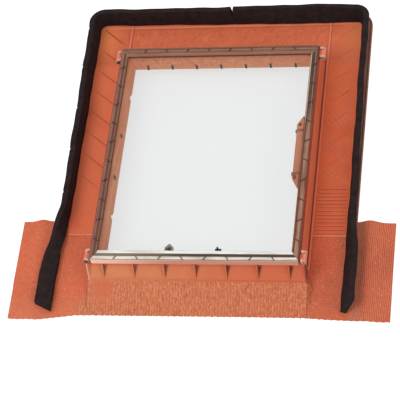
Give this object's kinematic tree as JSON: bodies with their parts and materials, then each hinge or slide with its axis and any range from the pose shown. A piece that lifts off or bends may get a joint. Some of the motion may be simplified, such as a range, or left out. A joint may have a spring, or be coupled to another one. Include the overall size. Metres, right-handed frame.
{
  "type": "roof hatch",
  "caption": "Small roof-exit hatch: moulded terracotta frame with flange, foam strip and pleated apron, under a clear side-hung cover with a folding grip latch.",
  "frame": {"origin": "under the middle of the whole hatch, in the plane of the flange's underside", "axes": "+X across the hatch with the hinges at -X, +Y up the roof slope with the apron at -Y, +Z out of the roof"},
  "size_m": [0.946, 0.898, 0.091],
  "materials": {
    "terracotta": "fine satin moulded grain",
    "apron": "matt pleated sheet",
    "foam": "open matt foam",
    "gasket": "matt",
    "dark_plastic": "matt",
    "dark_clip": "matt",
    "steel": "fine brushed",
    "brown_screw": "satin",
    "clear": "clear, slightly smoked at the rim",
    "clear_inner": "clear",
    "smoked": "cloudy grey-brown"
  },
  "bodies": {
    "frame": {"base_frame": "terracotta", "rim_gasket": "gasket", "lining_clips": "dark_clip", "foam_seal": "foam", "apron": "apron", "apron_bead": "terracotta", "hinge_pin_lower": "dark_plastic", "hinge_pin_upper": "dark_plastic", "hinge_pin_clips": "steel", "strike_plate_lower": "steel", "strike_plate_upper": "steel", "strike_screws": "steel"},
    "lid": {"cover": "clear", "inner_pane": "clear_inner", "latch_bracket_lower": "terracotta", "latch_bracket_upper": "terracotta", "bracket_screws": "brown_screw", "catch_pin": "steel", "catch_bush": "dark_plastic", "buffer_peg": "gasket"},
    "latch": {"latch_shaft": "steel", "latch_grip": "terracotta", "latch_hook_lower": "dark_plastic", "latch_hook_upper": "dark_plastic"},
    "catch": {"turn_catch": "smoked"}
  },
  "joints": [
    {"name": "lid_hinge", "type": "hinge", "parent": "frame", "child": "lid", "pos_m": [-0.269, -0.018, 0.077], "axis": [0, -1, 0], "range_deg": [0, 100]},
    {"name": "latch_fold", "type": "hinge", "parent": "lid", "child": "latch", "pos_m": [0.2335, -0.018, 0.0745], "axis": [0, -1, 0], "range_deg": [0, 90]},
    {"name": "catch_turn", "type": "hinge", "parent": "lid", "child": "catch", "pos_m": [-0.066, -0.291, 0.0717], "axis": [0, 0, 1], "range_deg": [0, 180]}
  ]
}
